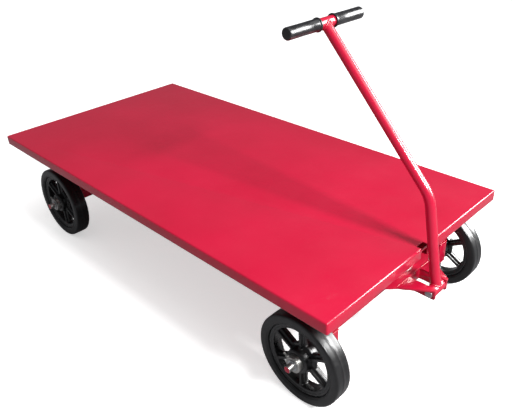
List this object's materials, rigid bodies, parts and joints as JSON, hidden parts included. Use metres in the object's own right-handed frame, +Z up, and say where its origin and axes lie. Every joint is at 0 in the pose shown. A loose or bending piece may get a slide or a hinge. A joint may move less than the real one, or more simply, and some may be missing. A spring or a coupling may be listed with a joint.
{
  "type": "folding platform cart",
  "caption": "Steel platform truck with a flat lipped deck, turntable-steered front axle, spoked rubber-tyred wheels and a folding T-handle drawbar.",
  "frame": {"origin": "on the ground, midway between the rear lip and the tongue tips, on the centre line", "axes": "+X towards the handle end, +Y to the left, +Z up"},
  "size_m": [1.581, 0.764, 0.863],
  "materials": {
    "red_enamel": "gloss red enamel over steel",
    "black_iron": "semi-gloss black paint over cast iron",
    "tyre_rubber": "moulded black rubber",
    "bright_steel": "machined bright steel",
    "zinc": "zinc plated",
    "grip_vinyl": "dipped dark vinyl, glossy"
  },
  "bodies": {
    "deck": {"deck_pan": "red_enamel", "left_stringer": "red_enamel", "right_stringer": "red_enamel", "front_cross_member": "red_enamel", "middle_cross_member": "red_enamel", "rear_cross_member": "red_enamel", "upper_turntable_plate": "red_enamel", "turntable_bolts": "zinc", "upper_race": "bright_steel", "turntable_balls": "bright_steel", "kingpin": "bright_steel", "kingpin_nut": "bright_steel", "rear_bolster": "red_enamel", "rear_left_leg": "red_enamel", "rear_right_leg": "red_enamel", "rear_axle_beam": "red_enamel", "rear_axle": "bright_steel", "rear_washers": "zinc", "rear_axle_pins": "zinc"},
    "fore_carriage": {"lower_turntable_plate": "red_enamel", "lower_race": "bright_steel", "front_bolster": "red_enamel", "front_left_leg": "red_enamel", "front_right_leg": "red_enamel", "front_axle": "bright_steel", "front_washers": "zinc", "front_axle_pins": "zinc", "tongue_left_side": "red_enamel", "tongue_right_side": "red_enamel", "tongue_left_gusset": "red_enamel", "tongue_right_gusset": "red_enamel", "tongue_spreader": "red_enamel", "pivot_bolt": "zinc", "pivot_nut": "zinc"},
    "handle": {"handle_tube": "red_enamel", "pivot_sleeve": "red_enamel", "handle_crossbar": "red_enamel", "left_grip": "grip_vinyl", "right_grip": "grip_vinyl"},
    "front_left_wheel": {"front_left_tyre": "tyre_rubber", "front_left_wheel_centre": "black_iron", "front_left_hub_sleeve": "bright_steel", "front_left_bearing": "bright_steel", "front_left_grease_fitting": "zinc"},
    "front_right_wheel": {"front_right_tyre": "tyre_rubber", "front_right_wheel_centre": "black_iron", "front_right_hub_sleeve": "bright_steel", "front_right_bearing": "bright_steel", "front_right_grease_fitting": "zinc"},
    "rear_left_wheel": {"rear_left_tyre": "tyre_rubber", "rear_left_wheel_centre": "black_iron", "rear_left_hub_sleeve": "bright_steel", "rear_left_bearing": "bright_steel", "rear_left_grease_fitting": "zinc"},
    "rear_right_wheel": {"rear_right_tyre": "tyre_rubber", "rear_right_wheel_centre": "black_iron", "rear_right_hub_sleeve": "bright_steel", "rear_right_bearing": "bright_steel", "rear_right_grease_fitting": "zinc"}
  },
  "joints": [
    {"name": "steer", "type": "hinge", "parent": "deck", "child": "fore_carriage", "pos_m": [0.6125, 0, 0.25], "axis": [0, 0, 1], "range_deg": [-20, 20]},
    {"name": "handle_fold", "type": "hinge", "parent": "fore_carriage", "child": "handle", "pos_m": [0.7755, 0, 0.2335], "axis": [0, 1, 0], "range_deg": [0, 135]},
    {"name": "front_left_spin", "type": "hinge", "parent": "fore_carriage", "child": "front_left_wheel", "pos_m": [0.6125, 0.322, 0.127], "axis": [0, 1, 0], "continuous": true},
    {"name": "front_right_spin", "type": "hinge", "parent": "fore_carriage", "child": "front_right_wheel", "pos_m": [0.6125, -0.322, 0.127], "axis": [0, 1, 0], "continuous": true},
    {"name": "rear_left_spin", "type": "hinge", "parent": "deck", "child": "rear_left_wheel", "pos_m": [-0.5565, 0.322, 0.127], "axis": [0, 1, 0], "continuous": true},
    {"name": "rear_right_spin", "type": "hinge", "parent": "deck", "child": "rear_right_wheel", "pos_m": [-0.5565, -0.322, 0.127], "axis": [0, 1, 0], "continuous": true}
  ]
}
